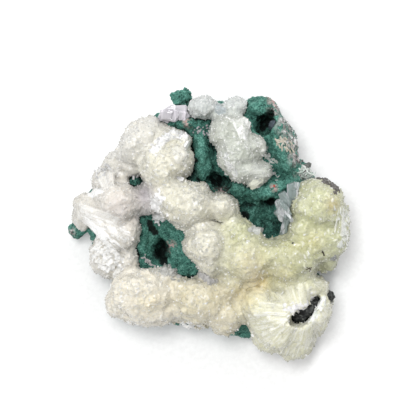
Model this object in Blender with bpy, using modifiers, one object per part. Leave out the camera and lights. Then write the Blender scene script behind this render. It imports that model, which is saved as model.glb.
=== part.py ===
"""Stilbite on chalcedony: a hand-sized mineral specimen lying on its sawn underside.

A cavernous block of green chalcedony carries eleven clusters of cream stilbite, two groups of clear
crystals and a grey crystal in one of its cavities. Every cluster is a solid of its own, whose
underside follows the rock. +X is to the right and +Y away from someone who looks down on it.
"""

import math
import random
from collections import namedtuple

import bmesh
import bpy
from mathutils import Matrix, Vector, noise

MM = 0.001

# Driving dimensions, in millimetres
CLEARANCE = 0.4  # between faces that touch
ROCK_VOXEL = 1.45  # the size at which the lumps of the block melt into one rock
ROCK_ROUGHNESS = 2.4  # height of the block's uneven surface
ROCK_GRAIN = 7.0  # width of one swelling of that surface
ROCK_TRIANGLES = 2400  # faces of the hollowed block before it is sawn
CLUSTER_DETAIL = 0.41  # share of a joined cluster's faces that are kept
FINISHED_DETAIL = 0.75  # the same once it is cut back to its neighbours
SAW_SIDE = 300.0  # side of the block of air below the sawn underside
SMALL_LOBE = 6.6  # a lobe whose plan is narrower than this in the mean has fewer faces
CRYSTAL_TIPS = (-0.035, 0.0, 0.0, 0.045, 0.085)  # how far single tips stand out, as shares of the radius
LOBE_WOBBLE = 0.07  # unevenness of a whole lobe, as a share of its radius
TABLET_BEVEL = 0.14  # bevel of a clear crystal's edges, as a share of its thickness
LUMP_WOBBLE = 0.16  # unevenness of a swelling of the rock, as a share of its size
HOLLOW_WOBBLE = 0.25  # the same for a cavity
SEAT = 0.42  # depth of a lobe's flat seat below its widest level, as a share of its height above it

# A lobe is a rounded bundle of crystals: its place, the height of its crown above the ground, its
# half width and half depth, the height of its crown above its widest level, and its turn in degrees.
Lobe = namedtuple("Lobe", "x y crown rx ry rz turn")

# A tablet is one flat crystal with a coffin-shaped face: the place of its middle, its half length,
# half width and thickness, and its turn, tilt and roll in degrees.
Tablet = namedtuple("Tablet", "x y z length width thickness turn tilt roll")

# A lump is one swelling or cavity of the block: the place of its middle, its three half sizes, its turn.
Lump = namedtuple("Lump", "x y z rx ry rz turn")

# The clusters, with those that stay whole first: each is cut back where it meets one above it.
STILBITE = {
    "stilbite_centre": (
        Lobe(-19.2, 22.0, 42.0, 8.0, 10.0, 13.0, 8),
        Lobe(-13.2, 25.5, 42.0, 7.8, 7.2, 13.0, -20),
        Lobe(-17.0, 13.5, 41.0, 7.5, 6.0, 12.0, 0),
        Lobe(-9.0, 8.0, 44.0, 12.2, 9.4, 14.0, -20),
        Lobe(6.0, 6.5, 40.0, 6.4, 6.6, 12.0, 0),
        Lobe(-2.6, 13.6, 38.0, 3.0, 3.4, 9.0, 0),
        Lobe(-16.0, 33.8, 37.5, 6.8, 4.6, 14.0, 22),
        Lobe(-9.4, 33.2, 37.0, 3.0, 3.2, 9.0, 0),
    ),
    "stilbite_right": (
        Lobe(15.0, -12.5, 41.0, 11.0, 11.0, 14.0, 0),
        Lobe(11.5, -3.5, 38.0, 7.2, 6.6, 11.0, 0),
        Lobe(24.0, -12.0, 38.0, 9.0, 5.4, 12.0, 0),
        Lobe(33.0, -13.5, 39.0, 11.0, 10.0, 13.0, 0),
        Lobe(43.6, 7.2, 40.0, 10.8, 10.8, 14.0, 0),
        Lobe(37.8, -1.5, 37.0, 6.2, 7.0, 12.0, 0),
        Lobe(44.5, -6.5, 36.0, 11.2, 9.5, 13.0, 0),
        Lobe(52.8, -1.0, 28.0, 4.2, 10.8, 12.0, 0),
        Lobe(48.4, -15.2, 29.0, 3.6, 3.6, 8.0, 0),
    ),
    "stilbite_middle": (
        Lobe(-0.5, -8.5, 44.0, 7.8, 8.4, 13.0, 0),
        Lobe(1.0, -16.0, 40.0, 5.4, 5.0, 11.0, 0),
        Lobe(-6.5, -8.5, 38.0, 4.0, 5.4, 10.0, 0),
    ),
    "stilbite_fan": (
        Lobe(30.5, -37.0, 34.0, 15.0, 14.0, 15.0, 0),
        Lobe(20.0, -31.5, 34.0, 7.6, 9.5, 13.0, 0),
        Lobe(43.5, -33.0, 29.0, 6.4, 12.0, 13.0, 0),
        Lobe(34.2, -45.6, 26.0, 9.2, 9.2, 12.0, 0),
        Lobe(25.0, -45.0, 26.0, 7.0, 6.8, 10.0, 0),
        Lobe(38.0, -25.0, 32.0, 10.0, 5.5, 12.0, 0),
    ),
    "stilbite_left": (
        Lobe(-36.0, 9.0, 39.0, 9.6, 8.6, 13.0, 0),
        Lobe(-45.5, 5.5, 31.0, 9.0, 6.0, 12.0, -30),
        Lobe(-37.5, -3.5, 35.0, 10.5, 6.0, 12.0, -45),
        Lobe(-39.5, -13.0, 28.0, 8.4, 9.0, 12.0, 0),
        Lobe(-41.5, 17.5, 28.0, 6.2, 5.4, 10.0, 20),
        Lobe(-30.9, -2.0, 33.0, 4.0, 7.0, 10.0, 0),
        Lobe(-34.5, 19.5, 30.0, 4.2, 3.6, 8.0, 0),
        Lobe(-32.0, -14.5, 30.0, 4.5, 7.5, 10.0, 0),
        Lobe(-50.5, 3.5, 24.0, 4.4, 6.6, 9.0, 0),
    ),
    "stilbite_lower_left": (
        Lobe(-26.5, -27.5, 37.0, 12.6, 10.0, 14.0, 0),
        Lobe(-23.5, -34.5, 31.0, 11.6, 6.8, 12.0, 0),
        Lobe(-35.6, -31.0, 29.0, 6.0, 7.0, 11.0, 0),
        Lobe(-16.0, -20.5, 30.0, 5.5, 3.0, 8.0, -30),
    ),
    "stilbite_lower_middle": (
        Lobe(-3.0, -30.0, 36.0, 11.5, 9.6, 13.0, 0),
        Lobe(6.5, -36.0, 31.0, 7.4, 8.6, 12.0, 0),
        Lobe(-9.5, -26.0, 33.0, 6.5, 5.5, 11.0, 0),
        Lobe(-3.5, -37.5, 22.0, 8.5, 4.0, 9.0, 0),
        Lobe(-0.5, -21.8, 31.0, 5.0, 3.2, 9.0, 0),
        Lobe(-11.8, -36.3, 21.0, 5.0, 3.6, 8.0, 0),
        Lobe(9.0, -25.4, 32.0, 5.6, 5.0, 9.0, 0),
    ),
    "stilbite_upper_left": (
        Lobe(-27.2, 33.2, 36.0, 11.0, 7.6, 12.0, 56),
        Lobe(-21.0, 37.0, 31.0, 6.5, 4.6, 9.0, 20),
        Lobe(-31.5, 29.0, 29.0, 6.0, 5.5, 11.0, 0),
        Lobe(-37.0, 25.0, 24.0, 6.2, 4.8, 9.0, 30),
    ),
    "stilbite_wedge": (
        Lobe(-24.4, 10.2, 33.0, 4.8, 6.6, 9.0, 10),
        Lobe(-25.6, 6.6, 30.5, 4.0, 3.4, 7.0, 0),
    ),
    "stilbite_ridge": (
        Lobe(6.8, 36.5, 42.0, 6.4, 7.0, 9.0, 0),
        Lobe(13.2, 37.4, 42.0, 3.4, 5.6, 8.0, 10),
        Lobe(11.4, 28.0, 45.0, 8.0, 8.6, 10.0, 0),
        Lobe(18.2, 30.6, 42.0, 5.0, 5.6, 9.0, 0),
        Lobe(14.4, 21.0, 43.0, 7.0, 4.8, 9.0, 0),
        Lobe(20.2, 19.4, 40.0, 5.8, 4.0, 8.0, 35),
    ),
    "stilbite_top": (
        Lobe(-2.2, 46.5, 36.0, 6.0, 5.2, 10.0, 0),
        Lobe(3.4, 44.5, 32.0, 4.0, 4.2, 8.0, 0),
        Lobe(11.0, 46.8, 35.0, 5.6, 4.4, 9.0, 0),
    ),
}

# The tablets of each group overlap, so that the group is one solid.
CLEAR_CRYSTALS = {
    "clear_crystals_top": (
        Tablet(-14.0, 44.3, 26.0, 5.2, 3.6, 4.6, 8, 0, 0),
        Tablet(-10.4, 44.8, 25.4, 4.2, 3.2, 6.0, -20, 8, 0),
        Tablet(-17.4, 42.6, 22.6, 3.6, 2.8, 6.0, 35, 0, 10),
    ),
    "clear_crystals_cavity": (
        Tablet(34.2, 12.8, 29.5, 4.6, 2.8, 4.0, -68, 8, 15),
        Tablet(31.4, 9.0, 29.5, 5.2, 2.2, 2.6, -58, 12, 40),
        Tablet(29.8, 6.2, 29.0, 5.0, 2.0, 2.4, -55, 15, 50),
        Tablet(29.4, 3.4, 28.0, 4.0, 1.8, 2.2, -38, 15, 50),
        Tablet(30.6, -1.4, 28.0, 4.8, 1.6, 2.0, -112, 12, 55),
    ),
}

GREY_CRYSTAL = {
    "grey_crystal": (
        Lobe(26.6, 39.4, 31.5, 2.7, 2.7, 4.0, 0),
        Lobe(28.2, 37.6, 30.0, 2.4, 2.2, 3.5, 0),
    )
}

ROCK_LUMPS = (
    Lump(-1.0, -1.5, 10.0, 45.0, 40.5, 15.0, 0),  # body of the block
    Lump(16.5, 29.5, 14.0, 17.0, 20.5, 16.0, 0),  # high shoulder at the back right
    Lump(28.6, 32.5, 20.0, 6.4, 16.0, 13.5, 17),  # its outer wall
    Lump(20.5, 46.2, 21.0, 8.6, 4.9, 12.0, 4),  # its back wall
    Lump(24.0, 13.6, 20.0, 13.0, 4.6, 12.0, 8),  # bridge in front of the shoulder
    Lump(11.5, 14.5, 20.0, 5.0, 5.0, 13.0, 0),  # knob on the bridge's end
    Lump(-2.0, 27.0, 20.0, 5.0, 12.0, 13.0, 8),  # rib beside the shoulder
    Lump(-7.0, 40.0, 16.0, 13.0, 4.6, 13.0, -4),  # mossy rib at the back
    Lump(-11.0, 50.6, 20.0, 3.8, 4.0, 7.0, 0),  # knob at the back edge
    Lump(-18.5, 41.5, 14.0, 4.5, 4.0, 9.0, 0),
    Lump(4.0, 43.0, 13.0, 13.0, 6.2, 12.0, 0),
    Lump(44.0, 9.5, 13.0, 8.6, 8.6, 14.0, 0),  # right edge
    Lump(40.0, 19.0, 17.0, 2.4, 2.4, 3.4, 0),  # beads beside the shoulder
    Lump(37.6, 22.6, 18.0, 3.0, 3.6, 4.0, 0),
    Lump(-53.0, -2.2, 8.0, 4.6, 3.6, 5.5, 20),  # knob at the left edge
    Lump(36.0, -30.5, 12.0, 12.5, 13.0, 16.0, 0),  # under the fan
    Lump(47.6, -29.0, 18.0, 3.8, 2.6, 5.0, 0),
    Lump(39.8, -35.0, 18.0, 9.0, 2.6, 10.6, 41),  # stump on which the fan grew
    Lump(13.0, -39.0, 9.0, 9.0, 7.0, 9.0, 0),
    Lump(-27.0, -29.5, 10.0, 11.5, 10.5, 10.0, 0),
    Lump(-37.0, 4.0, 10.0, 13.5, 14.0, 12.0, 0),
    Lump(-26.0, 27.5, 10.0, 10.0, 9.5, 13.0, 0),
)

CAVITIES = (
    Lump(-18.0, -8.5, 28.0, 9.0, 13.5, 10.5, 28),  # front cavity, a bowl between four clusters
    Lump(-18.4, -10.5, 15.0, 3.4, 4.4, 10.0, 10),  # the deep hole in its floor
    Lump(24.0, 1.0, 27.0, 9.0, 9.5, 14.0, 0),  # right cavity
    Lump(25.6, 8.6, 20.0, 5.6, 5.0, 5.5, 0),  # its hollow under the bridge
    Lump(15.5, 5.0, 22.0, 5.0, 4.0, 6.0, 0),  # its hollow under the centre cluster
    Lump(22.8, 40.2, 27.0, 4.0, 5.6, 11.0, -20),  # back cavity in the shoulder
    Lump(-7.6, 28.5, 26.0, 2.2, 4.0, 10.0, 10),  # crevice beside the rib
    Lump(5.0, 17.4, 25.0, 5.6, 3.2, 11.0, -20),  # crevice at the rib's foot
)

# Grooves in the face of a cluster, which bare the stump below it
CLEFTS = {
    "stilbite_fan": (
        Lump(36.8, -37.0, 31.0, 5.2, 3.2, 8.0, 25),  # its broad lower end
        Lump(41.4, -33.2, 31.0, 7.6, 1.9, 8.0, 50),  # its slim upper end
    )
}

COLOURS = {
    "chalcedony": ((0.12, 0.33, 0.26, 1.0), 0.85),
    "stilbite": ((0.86, 0.82, 0.70, 1.0), 0.45),
    "clear_crystal": ((0.80, 0.80, 0.84, 1.0), 0.15),
    "grey_crystal": ((0.42, 0.46, 0.50, 1.0), 0.25),
}


def clear_scene():
    for old in list(bpy.data.objects):
        bpy.data.objects.remove(old, do_unlink=True)


def new_material(name):
    colour, roughness = COLOURS[name]
    made = bpy.data.materials.new(name)
    made.use_nodes = True
    shader = made.node_tree.nodes["Principled BSDF"]
    shader.inputs["Base Color"].default_value = colour
    shader.inputs["Roughness"].default_value = roughness
    shader.inputs["Metallic"].default_value = 0.0
    made.diffuse_color = colour
    return made


def object_of(shape, name, collection):
    """Makes an object of a bmesh and frees the bmesh."""
    mesh = bpy.data.meshes.new(name)
    shape.to_mesh(mesh)
    shape.free()
    made = bpy.data.objects.new(name, mesh)
    collection.objects.link(made)
    return made


def apply_modifiers(obj):
    bpy.context.view_layer.update()
    graph = bpy.context.evaluated_depsgraph_get()
    finished = bpy.data.meshes.new_from_object(obj.evaluated_get(graph))
    obj.modifiers.clear()
    obj.data = finished


def combine(obj, others, operation, solver="EXACT"):
    """Joins the others to obj, or cuts them from it, and removes them."""
    for other in others:
        step = obj.modifiers.new(other.name, "BOOLEAN")
        step.operation = operation
        step.solver = solver
        step.object = other
    apply_modifiers(obj)
    for other in others:
        bpy.data.objects.remove(other, do_unlink=True)
    return obj


def thin_out(obj, share):
    """Collapses edges until that share of the faces is left."""
    fewer = obj.modifiers.new("fewer", "DECIMATE")
    fewer.ratio = share
    fewer.use_collapse_triangulate = True
    apply_modifiers(obj)


def keep_largest(obj):
    """Removes the loose chips that a cut leaves."""
    shape = bmesh.new()
    shape.from_mesh(obj.data)
    left = set(shape.verts)
    pieces = []
    while left:
        front = [left.pop()]
        piece = list(front)
        while front:
            for edge in front.pop().link_edges:
                for vert in edge.verts:
                    if vert in left:
                        left.remove(vert)
                        front.append(vert)
                        piece.append(vert)
        pieces.append(piece)
    pieces.sort(key=len)
    for piece in pieces[:-1]:
        bmesh.ops.delete(shape, geom=piece, context="VERTS")
    bmesh.ops.triangulate(shape, faces=shape.faces)
    shape.to_mesh(obj.data)
    shape.free()


def placement(lump):
    return Matrix.Translation(Vector(lump[:3])) @ Matrix.Rotation(math.radians(lump.turn), 4, "Z")


def sit_flat(shape, level):
    """Cuts off all that is below a level, and closes the cut with one flat face."""
    everything = [*shape.verts, *shape.edges, *shape.faces]
    cut = bmesh.ops.bisect_plane(
        shape, geom=everything, plane_co=(0, 0, level), plane_no=(0, 0, -1), clear_outer=True
    )
    rim = [part for part in cut["geom_cut"] if isinstance(part, bmesh.types.BMEdge)]
    bmesh.ops.contextual_create(shape, geom=rim)
    bmesh.ops.recalc_face_normals(shape, faces=shape.faces)


def lobe_object(lobe, seed, collection):
    """One bundle of crystals: a sphere whose corners are crystal tips of uneven length."""
    chance = random.Random(seed)
    where = Vector(chance.uniform(0, 50) for _ in range(3))
    shape = bmesh.new()
    fine = (lobe.rx + lobe.ry) / 2 > SMALL_LOBE
    bmesh.ops.create_icosphere(shape, subdivisions=3 if fine else 2, radius=1.0)
    for vert in shape.verts:
        way = vert.co.normalized()
        reach = 1 + LOBE_WOBBLE * noise.noise(way * 2 + where) + chance.choice(CRYSTAL_TIPS)
        vert.co = Vector((way.x * lobe.rx, way.y * lobe.ry, way.z * lobe.rz)) * reach
    sit_flat(shape, -SEAT * lobe.rz)
    turn = Matrix.Rotation(math.radians(lobe.turn), 4, "Z")
    middle = Matrix.Translation((lobe.x, lobe.y, lobe.crown - lobe.rz))
    shape.transform(Matrix.Scale(MM, 4) @ middle @ turn)
    return object_of(shape, "lobe", collection)


def tablet_object(tablet, seed, collection):
    """One flat crystal: a six-sided prism, drawn out to a coffin shape, with its ends bevelled."""
    shape = bmesh.new()
    bmesh.ops.create_cone(shape, cap_ends=True, segments=6, radius1=1.0, radius2=1.0, depth=1.0)
    bmesh.ops.scale(shape, vec=(tablet.length, tablet.width, tablet.thickness), verts=shape.verts)
    rims = [edge for edge in shape.edges if abs(edge.verts[0].co.z - edge.verts[1].co.z) < 0.01]
    bmesh.ops.bevel(shape, geom=rims, offset=TABLET_BEVEL * tablet.thickness, segments=1, affect="EDGES")
    spin = Matrix.Rotation(math.radians(tablet.turn), 4, "Z")
    tilt = Matrix.Rotation(math.radians(tablet.tilt), 4, "Y")
    roll = Matrix.Rotation(math.radians(tablet.roll), 4, "X")
    middle = Matrix.Translation((tablet.x, tablet.y, tablet.z))
    shape.transform(Matrix.Scale(MM, 4) @ middle @ spin @ tilt @ roll)
    return object_of(shape, "tablet", collection)


def cluster_object(name, members, maker, collection):
    """Joins the members of a cluster, each made by maker, in one solid."""
    first, *others = [maker(member, len(name) * 100 + i, collection) for i, member in enumerate(members)]
    first.name = name
    combine(first, others, "UNION")
    if maker is lobe_object:
        thin_out(first, CLUSTER_DETAIL)
    return first


def grown_copy(obj, collection):
    """A copy with its faces moved out by the clearance, to cut what lies against it."""
    copy = bpy.data.objects.new(obj.name + "_clearance", obj.data.copy())
    collection.objects.link(copy)
    swell = copy.modifiers.new("swell", "DISPLACE")
    swell.mid_level = 0
    swell.strength = CLEARANCE * MM
    apply_modifiers(copy)
    return copy


def lump_object(lump, seed, roughness, collection):
    """One rounded swelling or hollow of the rock, with an uneven surface."""
    chance = random.Random(seed)
    where = Vector(chance.uniform(0, 50) for _ in range(3))
    shape = bmesh.new()
    bmesh.ops.create_icosphere(shape, subdivisions=3, radius=1.0)
    for vert in shape.verts:
        way = vert.co.normalized()
        reach = 1 + roughness * noise.noise(way * 1.6 + where)
        vert.co = Vector((way.x * lump.rx, way.y * lump.ry, way.z * lump.rz)) * reach
    shape.transform(Matrix.Scale(MM, 4) @ placement(lump))
    return object_of(shape, "lump", collection)


def air_below(collection):
    shape = bmesh.new()
    bmesh.ops.create_cube(shape, size=SAW_SIDE * MM)
    bmesh.ops.translate(shape, vec=(0, 0, -SAW_SIDE * MM / 2), verts=shape.verts)
    return object_of(shape, "air_below", collection)


def rock_object(name, collection):
    """The block: its lumps melted together, roughened, hollowed and sawn flat."""
    lumps = [lump_object(lump, i, LUMP_WOBBLE, collection) for i, lump in enumerate(ROCK_LUMPS)]
    shape = bmesh.new()
    for lump in lumps:
        shape.from_mesh(lump.data)
        bpy.data.objects.remove(lump, do_unlink=True)
    rock = object_of(shape, name, collection)
    melt = rock.modifiers.new("melt", "REMESH")
    melt.mode = "VOXEL"
    melt.voxel_size = ROCK_VOXEL * MM
    grain = bpy.data.textures.new("rock_grain", "CLOUDS")
    grain.noise_scale = ROCK_GRAIN * MM
    grain.noise_depth = 2
    uneven = rock.modifiers.new("uneven", "DISPLACE")
    uneven.texture = grain
    uneven.texture_coords = "GLOBAL"
    uneven.strength = ROCK_ROUGHNESS * MM
    uneven.mid_level = 0.5
    apply_modifiers(rock)
    hollows = [
        lump_object(hollow, 100 + i, HOLLOW_WOBBLE, collection)  # seeds apart from the lumps'
        for i, hollow in enumerate(CAVITIES)
    ]
    combine(rock, hollows, "DIFFERENCE")
    thin_out(rock, ROCK_TRIANGLES / (2 * len(rock.data.polygons)))
    # The exact solver leaves torn edges where the thinned surface folds over the saw's plane
    combine(rock, [air_below(collection)], "DIFFERENCE", "MANIFOLD")
    keep_largest(rock)
    return rock


def box_of(obj):
    points = [vert.co for vert in obj.data.vertices]
    low = Vector(min(co[i] for co in points) for i in range(3))
    high = Vector(max(co[i] for co in points) for i in range(3))
    return low, high


def near(first, second):
    """Whether the boxes round two objects meet."""
    (low_a, high_a), (low_b, high_b) = box_of(first), box_of(second)
    return all(low_a[i] < high_b[i] and low_b[i] < high_a[i] for i in range(3))


def crystal_clusters(rock, collection):
    """Every cluster as a solid, cut back where it meets the rock and the clusters before it."""
    finished = []
    for family, maker, material in (
        (STILBITE, lobe_object, "stilbite"),
        (GREY_CRYSTAL, lobe_object, "grey_crystal"),
        (CLEAR_CRYSTALS, tablet_object, "clear_crystal"),
    ):
        shade = new_material(material)
        for name, members in family.items():
            cluster = cluster_object(name, members, maker, collection)
            for i, cleft in enumerate(CLEFTS.get(name, ())):
                combine(cluster, [lump_object(cleft, i, LUMP_WOBBLE, collection)], "DIFFERENCE")
            neighbours = [other for other in (rock, *finished) if near(cluster, other)]
            grown = [grown_copy(other, collection) for other in neighbours]
            # The grown copies cross themselves in their creases, which the exact solver doesn't take
            combine(cluster, grown, "DIFFERENCE", "MANIFOLD")
            keep_largest(cluster)
            thin_out(cluster, FINISHED_DETAIL)
            paint(cluster, shade)
            finished.append(cluster)
    return finished


def paint(obj, material):
    obj.data.materials.clear()
    obj.data.materials.append(material)
    obj.data.shade_flat()


def centre_on_ground(objects):
    """Puts the specimen's middle over the world's origin, and each piece's origin in its own middle."""
    boxes = [box_of(obj) for obj in objects]
    low = Vector(min(box[0][i] for box in boxes) for i in range(3))
    high = Vector(max(box[1][i] for box in boxes) for i in range(3))
    shift = Vector((-(low.x + high.x) / 2, -(low.y + high.y) / 2, 0))
    for obj, (own_low, own_high) in zip(objects, boxes):
        middle = (own_low + own_high) / 2
        obj.data.transform(Matrix.Translation(-middle))
        obj.location = middle + shift


def main():
    clear_scene()
    specimen = bpy.data.collections.new("stilbite_on_chalcedony")
    bpy.context.scene.collection.children.link(specimen)
    rock = rock_object("chalcedony_matrix", specimen)
    clusters = crystal_clusters(rock, specimen)
    paint(rock, new_material("chalcedony"))
    centre_on_ground([rock, *clusters])


main()
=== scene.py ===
import bpy
import numpy as np
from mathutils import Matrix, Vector, noise
from mathutils.bvhtree import BVHTree
from mathutils.kdtree import KDTree


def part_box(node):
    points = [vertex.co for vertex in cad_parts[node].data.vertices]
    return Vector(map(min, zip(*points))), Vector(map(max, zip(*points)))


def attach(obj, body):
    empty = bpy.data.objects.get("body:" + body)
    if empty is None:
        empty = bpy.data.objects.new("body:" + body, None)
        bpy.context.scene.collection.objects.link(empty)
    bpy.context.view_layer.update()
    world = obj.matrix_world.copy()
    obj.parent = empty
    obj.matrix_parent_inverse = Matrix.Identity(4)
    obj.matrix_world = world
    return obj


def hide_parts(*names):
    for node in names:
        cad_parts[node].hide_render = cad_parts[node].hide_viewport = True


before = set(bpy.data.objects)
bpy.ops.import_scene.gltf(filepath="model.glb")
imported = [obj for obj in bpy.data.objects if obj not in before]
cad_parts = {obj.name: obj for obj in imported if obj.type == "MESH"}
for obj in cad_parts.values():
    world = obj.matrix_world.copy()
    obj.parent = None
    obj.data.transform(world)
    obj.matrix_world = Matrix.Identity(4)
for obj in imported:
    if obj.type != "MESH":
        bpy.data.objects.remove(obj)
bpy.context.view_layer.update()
mm = 0.001
seeds = {"crust": 11, "blades": 100, "tips": 200, "bundles": 300, "chips": 500, "rock": 700, "clear": 900}
noise.seed_set(3)  # without it the vector noise starts from the clock


def makeActive(obj):
    if bpy.context.object and bpy.context.object.mode != "OBJECT":
        bpy.ops.object.mode_set(mode="OBJECT")
    bpy.ops.object.select_all(action="DESELECT")
    obj.select_set(True)
    bpy.context.view_layer.objects.active = obj


def applyModifiers(obj):
    makeActive(obj)
    for modifier in list(obj.modifiers):
        bpy.ops.object.modifier_apply(modifier=modifier.name)


def copyOfNode(node, name):
    obj = bpy.data.objects.new(name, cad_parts[node].data.copy())
    bpy.context.collection.objects.link(obj)
    obj.data.materials.clear()
    makeActive(obj)
    bpy.ops.object.mode_set(mode="EDIT")
    bpy.ops.mesh.select_all(action="SELECT")
    bpy.ops.mesh.remove_doubles(threshold=0.01 * mm)
    bpy.ops.object.mode_set(mode="OBJECT")
    return obj


def pushOut(obj, distance):
    move = obj.modifiers.new("pushOut", "DISPLACE")
    move.mid_level = 0.0
    move.strength = distance * mm


def melt(obj, voxel):
    remesh = obj.modifiers.new("melt", "REMESH")
    remesh.mode = "VOXEL"
    remesh.voxel_size = voxel * mm


def relax(obj, rounds):
    soften = obj.modifiers.new("relax", "SMOOTH")
    soften.factor = 0.5
    soften.iterations = rounds


def roughen(obj, kind, width, height, group=""):
    pattern = bpy.data.textures.new(obj.name + kind, kind)
    pattern.noise_scale = width * mm
    if kind == "CLOUDS":
        pattern.noise_depth = 2
    if kind == "VORONOI":
        pattern.distance_metric = "DISTANCE_SQUARED"
        pattern.noise_intensity = 1.0
    uneven = obj.modifiers.new("roughen", "DISPLACE")
    uneven.texture = pattern
    uneven.texture_coords = "GLOBAL"
    uneven.mid_level = 0.5 if kind == "CLOUDS" else 0.25  # about the middle of each pattern
    uneven.strength = height * mm
    uneven.vertex_group = group


def treeOf(*objects):
    corners, faces = [], []
    for obj in objects:
        start = len(corners)
        corners += [vert.co.copy() for vert in obj.data.vertices]
        faces += [[start + i for i in face.vertices] for face in obj.data.polygons]
    return BVHTree.FromPolygons(corners, faces)


def join(target, others):
    makeActive(target)
    for other in others:
        other.select_set(True)
    bpy.ops.object.join()


def finished(piece, slot, *nodes):
    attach(piece, "root")
    if nodes:
        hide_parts(*nodes)


def addLobes(obj, lobes):  # x, y, z and radius in millimetres
    for *place, radius in lobes:
        bpy.ops.object.select_all(action="DESELECT")
        bpy.ops.mesh.primitive_ico_sphere_add(subdivisions=3, radius=radius * mm, location=Vector(place) * mm)
        join(obj, [bpy.context.object])


def shaderGroup(name, inputs, outputs):
    group = bpy.data.node_groups.new(name, "ShaderNodeTree")
    for label, kind, value in inputs:
        socket = group.interface.new_socket(label, in_out="INPUT", socket_type=kind)
        if value is not None:
            socket.default_value = value
    for label, kind in outputs:
        group.interface.new_socket(label, in_out="OUTPUT", socket_type=kind)
    start = group.nodes.new("NodeGroupInput")
    end = group.nodes.new("NodeGroupOutput")
    return group, start, end


def addNode(tree, kind, **values):
    node = tree.nodes.new(kind)
    for label, value in values.items():
        if hasattr(node, label):
            setattr(node, label, value)
        else:
            node.inputs[label.replace("_", " ")].default_value = value
    return node


def mixOf(tree, factor, first, second):
    mix = tree.nodes.new("ShaderNodeMix")
    mix.data_type = "RGBA"
    for socket, value in ((mix.inputs[0], factor), (mix.inputs[6], first), (mix.inputs[7], second)):
        if isinstance(value, bpy.types.NodeSocket):
            tree.links.new(value, socket)
        else:
            socket.default_value = value
    return mix.outputs[2]


def maskOf(tree, name):
    return addNode(tree, "ShaderNodeAttribute", attribute_name=name).outputs["Fac"]


def rampOf(tree, value, low, high):
    ramp = tree.nodes.new("ShaderNodeMapRange")
    ramp.interpolation_type = "SMOOTHSTEP"
    ramp.inputs["From Min"].default_value = low
    ramp.inputs["From Max"].default_value = high
    tree.links.new(value, ramp.inputs["Value"])
    return ramp.outputs["Result"]


def makePatchGroup():  # soft patches in which a tint is paler or deeper, and a fine grain
    group, start, end = shaderGroup(
        "tintPatches",
        [("Vector", "NodeSocketVector", None), ("Tint", "NodeSocketColor", (1, 1, 1, 1)),
         ("Patches Per Metre", "NodeSocketFloat", 150.0), ("Grains Per Metre", "NodeSocketFloat", 1200.0)],
        [("Color", "NodeSocketColor"), ("Grain", "NodeSocketFloat")],
    )
    links = group.links
    fields = []
    for label, detail in (("Patches Per Metre", 3.0), ("Grains Per Metre", 2.0)):
        field = addNode(group, "ShaderNodeTexNoise", Detail=detail, Roughness=0.6)
        links.new(start.outputs["Vector"], field.inputs["Vector"])
        links.new(start.outputs[label], field.inputs["Scale"])
        fields.append(field.outputs["Fac"])
    shade = group.nodes.new("ShaderNodeHueSaturation")
    for field, socket, low, high in ((fields[0], "Saturation", 1.15, 0.85), (fields[1], "Value", 0.97, 1.04)):
        spread = addNode(group, "ShaderNodeMapRange", From_Min=0.3, From_Max=0.7, To_Min=low, To_Max=high)
        links.new(field, spread.inputs["Value"])
        links.new(spread.outputs["Result"], shade.inputs[socket])
    links.new(start.outputs["Tint"], shade.inputs["Color"])
    links.new(shade.outputs["Color"], end.inputs["Color"])
    links.new(fields[1], end.inputs["Grain"])
    return group


patchGroup = makePatchGroup()


def newMaterial(name):
    material = bpy.data.materials.new(name)
    material.use_nodes = True
    tree = material.node_tree
    shader = tree.nodes["Principled BSDF"]
    where = tree.nodes.new("ShaderNodeTexCoord").outputs["Object"]
    return material, tree, shader, where


def patchesIn(tree, where, tint, patch, grain):
    node = tree.nodes.new("ShaderNodeGroup")
    node.node_tree = patchGroup
    tree.links.new(where, node.inputs["Vector"])
    node.inputs["Patches Per Metre"].default_value = 1000.0 / patch
    node.inputs["Grains Per Metre"].default_value = 1000.0 / grain
    if isinstance(tint, bpy.types.NodeSocket):
        tree.links.new(tint, node.inputs["Tint"])
    else:
        node.inputs["Tint"].default_value = (*tint, 1)
    return node.outputs["Color"], node.outputs["Grain"]


def bumpFrom(tree, shader, height, distance, strength=1.0):
    bump = addNode(tree, "ShaderNodeBump", Strength=strength, Distance=distance * mm)
    tree.links.new(height, bump.inputs["Height"])
    tree.links.new(bump.outputs["Normal"], shader.inputs["Normal"])


stilbiteLook = {
    # the white of silky crystals, which is also the white of the painted glints
    "silk": (0.80, 0.80, 0.79), "patch": 8.0, "grain": 0.6, "sugar": 0.5, "sugarHeight": 0.06,
    "sugarBump": 0.8, "rough": (0.16, 0.45), "glow": 0.9, "glowTint": (1.0, 0.96, 0.9),
    "depth": (0.9, 0.05),  # where a crystal isn't dull, and where it is
}


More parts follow.
